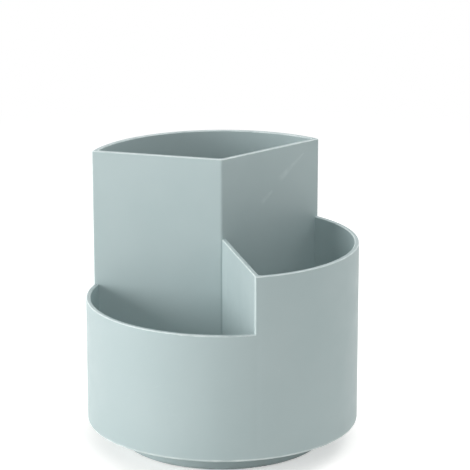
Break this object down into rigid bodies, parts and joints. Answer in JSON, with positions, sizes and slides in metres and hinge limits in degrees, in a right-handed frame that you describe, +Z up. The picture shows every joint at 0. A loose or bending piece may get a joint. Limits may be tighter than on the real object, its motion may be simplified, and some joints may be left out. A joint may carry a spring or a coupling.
{
  "type": "rotating pen holder",
  "caption": "Round desk pen holder with a low, a mid-height and a tall pocket in one drum that turns on a ball bearing base.",
  "frame": {"origin": "centre of the base on the desk surface, on the drum's turning axis", "axes": "+Z up along the turning axis; -Y along the divider between the low and the mid pocket, so the low pocket is on -X, the mid pocket on +X and the tall pocket on +Y"},
  "size_m": [0.12, 0.12, 0.127],
  "materials": {
    "sage_plastic": "matte",
    "foot_rubber": "matte",
    "white_plastic": "satin",
    "polished_steel": "polished",
    "zinc_steel": "satin"
  },
  "bodies": {
    "base": {"base": "sage_plastic", "pivot_cap": "sage_plastic", "foot_1": "foot_rubber", "foot_2": "foot_rubber", "foot_3": "foot_rubber", "foot_4": "foot_rubber"},
    "cage": {"ball_cage": "white_plastic"},
    "drum": {"drum": "sage_plastic", "bearing_plate": "sage_plastic", "plate_screws": "zinc_steel", "pivot_screw": "zinc_steel", "pivot_washer": "zinc_steel"},
    "ball_1": {"ball_1": "polished_steel"},
    "ball_2": {"ball_2": "polished_steel"},
    "ball_3": {"ball_3": "polished_steel"},
    "ball_4": {"ball_4": "polished_steel"},
    "ball_5": {"ball_5": "polished_steel"},
    "ball_6": {"ball_6": "polished_steel"},
    "ball_7": {"ball_7": "polished_steel"},
    "ball_8": {"ball_8": "polished_steel"},
    "ball_9": {"ball_9": "polished_steel"},
    "ball_10": {"ball_10": "polished_steel"},
    "ball_11": {"ball_11": "polished_steel"},
    "ball_12": {"ball_12": "polished_steel"}
  },
  "joints": [
    {"name": "drum_spin", "type": "hinge", "parent": "base", "child": "drum", "pos_m": [0, 0, 0.00613], "axis": [0, 0, 1], "continuous": true},
    {"name": "cage_spin", "type": "hinge", "parent": "base", "child": "cage", "pos_m": [0, 0, 0.00613], "axis": [0, 0, 1], "continuous": true},
    {"name": "ball_1_roll", "type": "hinge", "parent": "cage", "child": "ball_1", "pos_m": [0.032, 0, 0.00613], "axis": [1, 0, 0], "continuous": true},
    {"name": "ball_2_roll", "type": "hinge", "parent": "cage", "child": "ball_2", "pos_m": [0.02771, 0.016, 0.00613], "axis": [0.866, 0.5, 0], "continuous": true},
    {"name": "ball_3_roll", "type": "hinge", "parent": "cage", "child": "ball_3", "pos_m": [0.016, 0.02771, 0.00613], "axis": [0.5, 0.866, 0], "continuous": true},
    {"name": "ball_4_roll", "type": "hinge", "parent": "cage", "child": "ball_4", "pos_m": [0, 0.032, 0.00613], "axis": [0, 1, 0], "continuous": true},
    {"name": "ball_5_roll", "type": "hinge", "parent": "cage", "child": "ball_5", "pos_m": [-0.016, 0.02771, 0.00613], "axis": [-0.5, 0.866, 0], "continuous": true},
    {"name": "ball_6_roll", "type": "hinge", "parent": "cage", "child": "ball_6", "pos_m": [-0.02771, 0.016, 0.00613], "axis": [-0.866, 0.5, 0], "continuous": true},
    {"name": "ball_7_roll", "type": "hinge", "parent": "cage", "child": "ball_7", "pos_m": [-0.032, 0, 0.00613], "axis": [-1, 0, 0], "continuous": true},
    {"name": "ball_8_roll", "type": "hinge", "parent": "cage", "child": "ball_8", "pos_m": [-0.02771, -0.016, 0.00613], "axis": [-0.866, -0.5, 0], "continuous": true},
    {"name": "ball_9_roll", "type": "hinge", "parent": "cage", "child": "ball_9", "pos_m": [-0.016, -0.02771, 0.00613], "axis": [-0.5, -0.866, 0], "continuous": true},
    {"name": "ball_10_roll", "type": "hinge", "parent": "cage", "child": "ball_10", "pos_m": [0, -0.032, 0.00613], "axis": [0, -1, 0], "continuous": true},
    {"name": "ball_11_roll", "type": "hinge", "parent": "cage", "child": "ball_11", "pos_m": [0.016, -0.02771, 0.00613], "axis": [0.5, -0.866, 0], "continuous": true},
    {"name": "ball_12_roll", "type": "hinge", "parent": "cage", "child": "ball_12", "pos_m": [0.02771, -0.016, 0.00613], "axis": [0.866, -0.5, 0], "continuous": true}
  ],
  "couplings": [
    {"joint": "cage_spin", "follows": "drum_spin", "ratio": 0.5},
    {"joint": "ball_1_roll", "follows": "drum_spin", "ratio": -8},
    {"joint": "ball_2_roll", "follows": "drum_spin", "ratio": -8},
    {"joint": "ball_3_roll", "follows": "drum_spin", "ratio": -8},
    {"joint": "ball_4_roll", "follows": "drum_spin", "ratio": -8},
    {"joint": "ball_5_roll", "follows": "drum_spin", "ratio": -8},
    {"joint": "ball_6_roll", "follows": "drum_spin", "ratio": -8},
    {"joint": "ball_7_roll", "follows": "drum_spin", "ratio": -8},
    {"joint": "ball_8_roll", "follows": "drum_spin", "ratio": -8},
    {"joint": "ball_9_roll", "follows": "drum_spin", "ratio": -8},
    {"joint": "ball_10_roll", "follows": "drum_spin", "ratio": -8},
    {"joint": "ball_11_roll", "follows": "drum_spin", "ratio": -8},
    {"joint": "ball_12_roll", "follows": "drum_spin", "ratio": -8}
  ]
}
